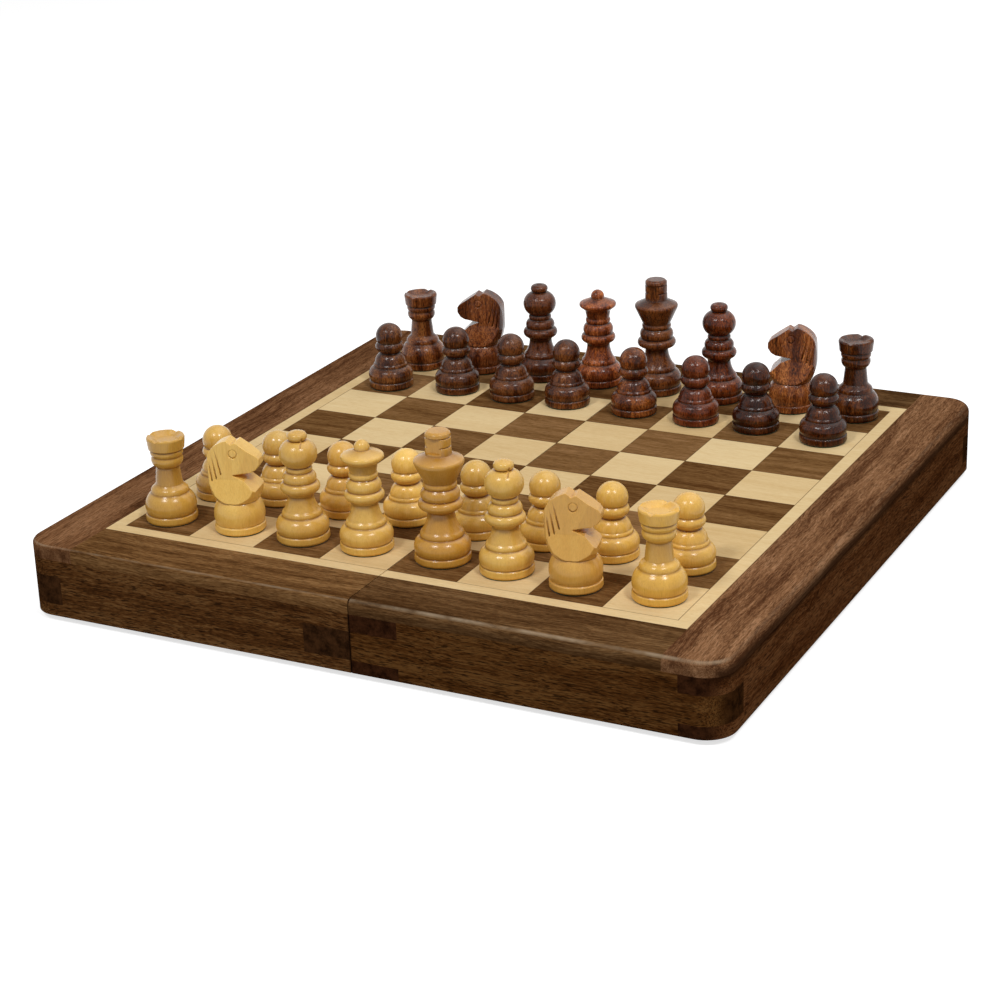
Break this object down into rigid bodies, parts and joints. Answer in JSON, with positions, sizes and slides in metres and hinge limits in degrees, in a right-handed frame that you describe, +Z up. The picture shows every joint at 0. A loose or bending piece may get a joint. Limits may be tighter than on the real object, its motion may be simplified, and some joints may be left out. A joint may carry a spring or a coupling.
{
  "type": "folding chess box",
  "caption": "Folding wooden chess set: two hinged trays whose backs form the board, with magnetic turned chessmen and felt-lined storage pockets.",
  "frame": {"origin": "under the middle of the open board, at the lowest point of the hinge barrels that it rests on", "axes": "+X along the ranks from the left half across the seam to the right half, +Y along the files from the white side to the black side, +Z up out of the playing surface"},
  "size_m": [0.254, 0.254, 0.0719],
  "materials": {
    "walnut_rail": "brown walnut, satin lacquer, grain along each rail",
    "walnut_border": "brown walnut, satin lacquer, soft rounded edge",
    "plywood": "bare birch plywood, hidden inside",
    "steel": "plain thin sheet, hidden under the squares",
    "dark_veneer": "walnut squares, satin, grain along the ranks",
    "light_veneer": "pale maple, satin, faint grain",
    "green_felt": "dark green felt, matt",
    "magnet": "nickel-plated magnet",
    "brass": "small bright brass hinges and screws",
    "boxwood": "golden boxwood, glossy lacquer",
    "rosewood": "dark red-brown rosewood, glossy lacquer"
  },
  "bodies": {
    "left_half": {"left_border_strips": "walnut_border", "left_catch_magnets": "magnet", "left_dark_squares": "dark_veneer", "left_end_rails": "walnut_rail", "left_felt_lining": "green_felt", "left_hinge_leaves": "brass", "left_hinge_pins_and_screws": "brass", "left_hinge_rail": "walnut_rail", "left_light_squares": "light_veneer", "left_panel_core": "plywood", "left_pocket_dividers": "green_felt", "left_side_rail": "walnut_rail", "left_steel_sheet": "steel", "left_stringing": "light_veneer"},
    "right_half": {"right_border_strips": "walnut_border", "right_catch_magnets": "magnet", "right_dark_squares": "dark_veneer", "right_end_rails": "walnut_rail", "right_felt_lining": "green_felt", "right_hinge_leaves": "brass", "right_hinge_rail": "walnut_rail", "right_hinge_screws": "brass", "right_light_squares": "light_veneer", "right_panel_core": "plywood", "right_pocket_dividers": "green_felt", "right_side_rail": "walnut_rail", "right_steel_sheet": "steel", "right_stringing": "light_veneer"},
    "black_bishop_c": {"black_bishop_c": "rosewood"},
    "black_bishop_f": {"black_bishop_f": "rosewood"},
    "black_king": {"black_king": "rosewood"},
    "black_knight_b": {"black_knight_b": "rosewood"},
    "black_knight_g": {"black_knight_g": "rosewood"},
    "black_pawn_a": {"black_pawn_a": "rosewood"},
    "black_pawn_b": {"black_pawn_b": "rosewood"},
    "black_pawn_c": {"black_pawn_c": "rosewood"},
    "black_pawn_d": {"black_pawn_d": "rosewood"},
    "black_pawn_e": {"black_pawn_e": "rosewood"},
    "black_pawn_f": {"black_pawn_f": "rosewood"},
    "black_pawn_g": {"black_pawn_g": "rosewood"},
    "black_pawn_h": {"black_pawn_h": "rosewood"},
    "black_queen": {"black_queen": "rosewood"},
    "black_rook_a": {"black_rook_a": "rosewood"},
    "black_rook_h": {"black_rook_h": "rosewood"},
    "white_bishop_c": {"white_bishop_c": "boxwood"},
    "white_bishop_f": {"white_bishop_f": "boxwood"},
    "white_king": {"white_king": "boxwood"},
    "white_knight_b": {"white_knight_b": "boxwood"},
    "white_knight_g": {"white_knight_g": "boxwood"},
    "white_pawn_a": {"white_pawn_a": "boxwood"},
    "white_pawn_b": {"white_pawn_b": "boxwood"},
    "white_pawn_c": {"white_pawn_c": "boxwood"},
    "white_pawn_d": {"white_pawn_d": "boxwood"},
    "white_pawn_e": {"white_pawn_e": "boxwood"},
    "white_pawn_f": {"white_pawn_f": "boxwood"},
    "white_pawn_g": {"white_pawn_g": "boxwood"},
    "white_pawn_h": {"white_pawn_h": "boxwood"},
    "white_queen": {"white_queen": "boxwood"},
    "white_rook_a": {"white_rook_a": "boxwood"},
    "white_rook_h": {"white_rook_h": "boxwood"}
  },
  "joints": [
    {"name": "board_hinge", "type": "hinge", "parent": "left_half", "child": "right_half", "pos_m": [0, 0, 0.00175], "axis": [0, 1, 0], "range_deg": [0, 180]},
    {"name": "lift_black_bishop_c", "type": "slide", "parent": "left_half", "child": "black_bishop_c", "axis": [0, 0, 1], "range_m": [0, 0.06]},
    {"name": "lift_black_bishop_f", "type": "slide", "parent": "right_half", "child": "black_bishop_f", "axis": [0, 0, 1], "range_m": [0, 0.06]},
    {"name": "lift_black_king", "type": "slide", "parent": "right_half", "child": "black_king", "axis": [0, 0, 1], "range_m": [0, 0.06]},
    {"name": "lift_black_knight_b", "type": "slide", "parent": "left_half", "child": "black_knight_b", "axis": [0, 0, 1], "range_m": [0, 0.06]},
    {"name": "lift_black_knight_g", "type": "slide", "parent": "right_half", "child": "black_knight_g", "axis": [0, 0, 1], "range_m": [0, 0.06]},
    {"name": "lift_black_pawn_a", "type": "slide", "parent": "left_half", "child": "black_pawn_a", "axis": [0, 0, 1], "range_m": [0, 0.06]},
    {"name": "lift_black_pawn_b", "type": "slide", "parent": "left_half", "child": "black_pawn_b", "axis": [0, 0, 1], "range_m": [0, 0.06]},
    {"name": "lift_black_pawn_c", "type": "slide", "parent": "left_half", "child": "black_pawn_c", "axis": [0, 0, 1], "range_m": [0, 0.06]},
    {"name": "lift_black_pawn_d", "type": "slide", "parent": "left_half", "child": "black_pawn_d", "axis": [0, 0, 1], "range_m": [0, 0.06]},
    {"name": "lift_black_pawn_e", "type": "slide", "parent": "right_half", "child": "black_pawn_e", "axis": [0, 0, 1], "range_m": [0, 0.06]},
    {"name": "lift_black_pawn_f", "type": "slide", "parent": "right_half", "child": "black_pawn_f", "axis": [0, 0, 1], "range_m": [0, 0.06]},
    {"name": "lift_black_pawn_g", "type": "slide", "parent": "right_half", "child": "black_pawn_g", "axis": [0, 0, 1], "range_m": [0, 0.06]},
    {"name": "lift_black_pawn_h", "type": "slide", "parent": "right_half", "child": "black_pawn_h", "axis": [0, 0, 1], "range_m": [0, 0.06]},
    {"name": "lift_black_queen", "type": "slide", "parent": "left_half", "child": "black_queen", "axis": [0, 0, 1], "range_m": [0, 0.06]},
    {"name": "lift_black_rook_a", "type": "slide", "parent": "left_half", "child": "black_rook_a", "axis": [0, 0, 1], "range_m": [0, 0.06]},
    {"name": "lift_black_rook_h", "type": "slide", "parent": "right_half", "child": "black_rook_h", "axis": [0, 0, 1], "range_m": [0, 0.06]},
    {"name": "lift_white_bishop_c", "type": "slide", "parent": "left_half", "child": "white_bishop_c", "axis": [0, 0, 1], "range_m": [0, 0.06]},
    {"name": "lift_white_bishop_f", "type": "slide", "parent": "right_half", "child": "white_bishop_f", "axis": [0, 0, 1], "range_m": [0, 0.06]},
    {"name": "lift_white_king", "type": "slide", "parent": "right_half", "child": "white_king", "axis": [0, 0, 1], "range_m": [0, 0.06]},
    {"name": "lift_white_knight_b", "type": "slide", "parent": "left_half", "child": "white_knight_b", "axis": [0, 0, 1], "range_m": [0, 0.06]},
    {"name": "lift_white_knight_g", "type": "slide", "parent": "right_half", "child": "white_knight_g", "axis": [0, 0, 1], "range_m": [0, 0.06]},
    {"name": "lift_white_pawn_a", "type": "slide", "parent": "left_half", "child": "white_pawn_a", "axis": [0, 0, 1], "range_m": [0, 0.06]},
    {"name": "lift_white_pawn_b", "type": "slide", "parent": "left_half", "child": "white_pawn_b", "axis": [0, 0, 1], "range_m": [0, 0.06]},
    {"name": "lift_white_pawn_c", "type": "slide", "parent": "left_half", "child": "white_pawn_c", "axis": [0, 0, 1], "range_m": [0, 0.06]},
    {"name": "lift_white_pawn_d", "type": "slide", "parent": "left_half", "child": "white_pawn_d", "axis": [0, 0, 1], "range_m": [0, 0.06]},
    {"name": "lift_white_pawn_e", "type": "slide", "parent": "right_half", "child": "white_pawn_e", "axis": [0, 0, 1], "range_m": [0, 0.06]},
    {"name": "lift_white_pawn_f", "type": "slide", "parent": "right_half", "child": "white_pawn_f", "axis": [0, 0, 1], "range_m": [0, 0.06]},
    {"name": "lift_white_pawn_g", "type": "slide", "parent": "right_half", "child": "white_pawn_g", "axis": [0, 0, 1], "range_m": [0, 0.06]},
    {"name": "lift_white_pawn_h", "type": "slide", "parent": "right_half", "child": "white_pawn_h", "axis": [0, 0, 1], "range_m": [0, 0.06]},
    {"name": "lift_white_queen", "type": "slide", "parent": "left_half", "child": "white_queen", "axis": [0, 0, 1], "range_m": [0, 0.06]},
    {"name": "lift_white_rook_a", "type": "slide", "parent": "left_half", "child": "white_rook_a", "axis": [0, 0, 1], "range_m": [0, 0.06]},
    {"name": "lift_white_rook_h", "type": "slide", "parent": "right_half", "child": "white_rook_h", "axis": [0, 0, 1], "range_m": [0, 0.06]}
  ]
}
